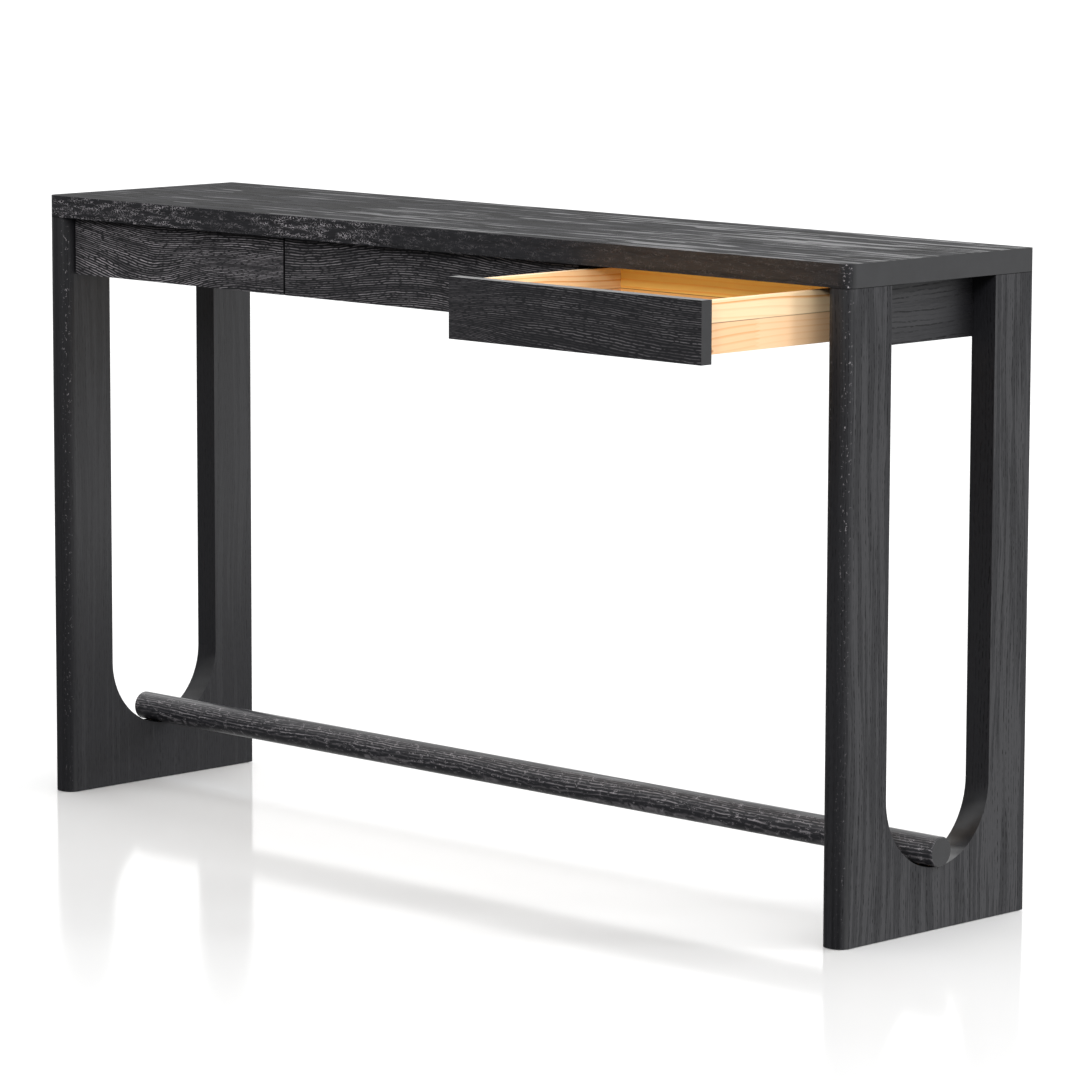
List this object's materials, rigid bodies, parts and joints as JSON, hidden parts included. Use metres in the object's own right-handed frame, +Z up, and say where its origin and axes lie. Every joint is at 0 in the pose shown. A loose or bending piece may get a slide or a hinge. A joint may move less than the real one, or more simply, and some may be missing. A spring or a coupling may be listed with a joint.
{
  "type": "console table",
  "caption": "Long, narrow console table with a thick top on two U-shaped end panels, a round stretcher bar low down and a row of drawers under the top.",
  "frame": {"origin": "on the floor, at the centre in X and Y of the table as stored, with its right-hand drawer pulled out", "axes": "+X to the right along the table as seen from the front, +Y towards the back (the drawers open towards -Y), +Z up"},
  "size_m": [1.514, 0.567, 0.85],
  "materials": {
    "black_oak": "black-stained open-grain oak, satin",
    "pine": "clear-coated edge-glued pine, satin",
    "plywood": "clear-coated birch plywood, satin",
    "beech": "raw beech dowel",
    "steel": "zinc-plated",
    "brass": "brass-plated zinc",
    "nylon": "matt black nylon"
  },
  "bodies": {
    "table": {"top_panel": "black_oak", "left_end_panel": "black_oak", "right_end_panel": "black_oak", "stretcher_bar": "black_oak", "left_apron": "black_oak", "right_apron": "black_oak", "back_rail": "black_oak", "left_partition": "black_oak", "right_partition": "black_oak", "drawer_runners": "pine", "runner_screws": "steel", "drawer_stops": "pine", "panel_dowels": "beech", "top_dowels": "beech", "rail_dowels": "beech", "partition_dowels": "beech", "stretcher_dowels": "beech", "apron_bolts": "steel", "apron_inserts": "brass", "floor_glides": "nylon"},
    "left_drawer": {"left_drawer_front": "black_oak", "left_drawer_left_side": "pine", "left_drawer_right_side": "pine", "left_drawer_box_front": "pine", "left_drawer_back": "pine", "left_drawer_bottom": "plywood", "left_drawer_screws": "steel", "left_drawer_dowels": "beech"},
    "middle_drawer": {"middle_drawer_front": "black_oak", "middle_drawer_left_side": "pine", "middle_drawer_right_side": "pine", "middle_drawer_box_front": "pine", "middle_drawer_back": "pine", "middle_drawer_bottom": "plywood", "middle_drawer_screws": "steel", "middle_drawer_dowels": "beech"},
    "right_drawer": {"right_drawer_front": "black_oak", "right_drawer_left_side": "pine", "right_drawer_right_side": "pine", "right_drawer_box_front": "pine", "right_drawer_back": "pine", "right_drawer_bottom": "plywood", "right_drawer_screws": "steel", "right_drawer_dowels": "beech"}
  },
  "joints": [
    {"name": "left_drawer_slide", "type": "slide", "parent": "table", "child": "left_drawer", "axis": [0, -1, 0], "range_m": [0, 0.235]},
    {"name": "middle_drawer_slide", "type": "slide", "parent": "table", "child": "middle_drawer", "axis": [0, -1, 0], "range_m": [0, 0.235]},
    {"name": "right_drawer_slide", "type": "slide", "parent": "table", "child": "right_drawer", "axis": [0, -1, 0], "range_m": [-0.235, 0]}
  ]
}
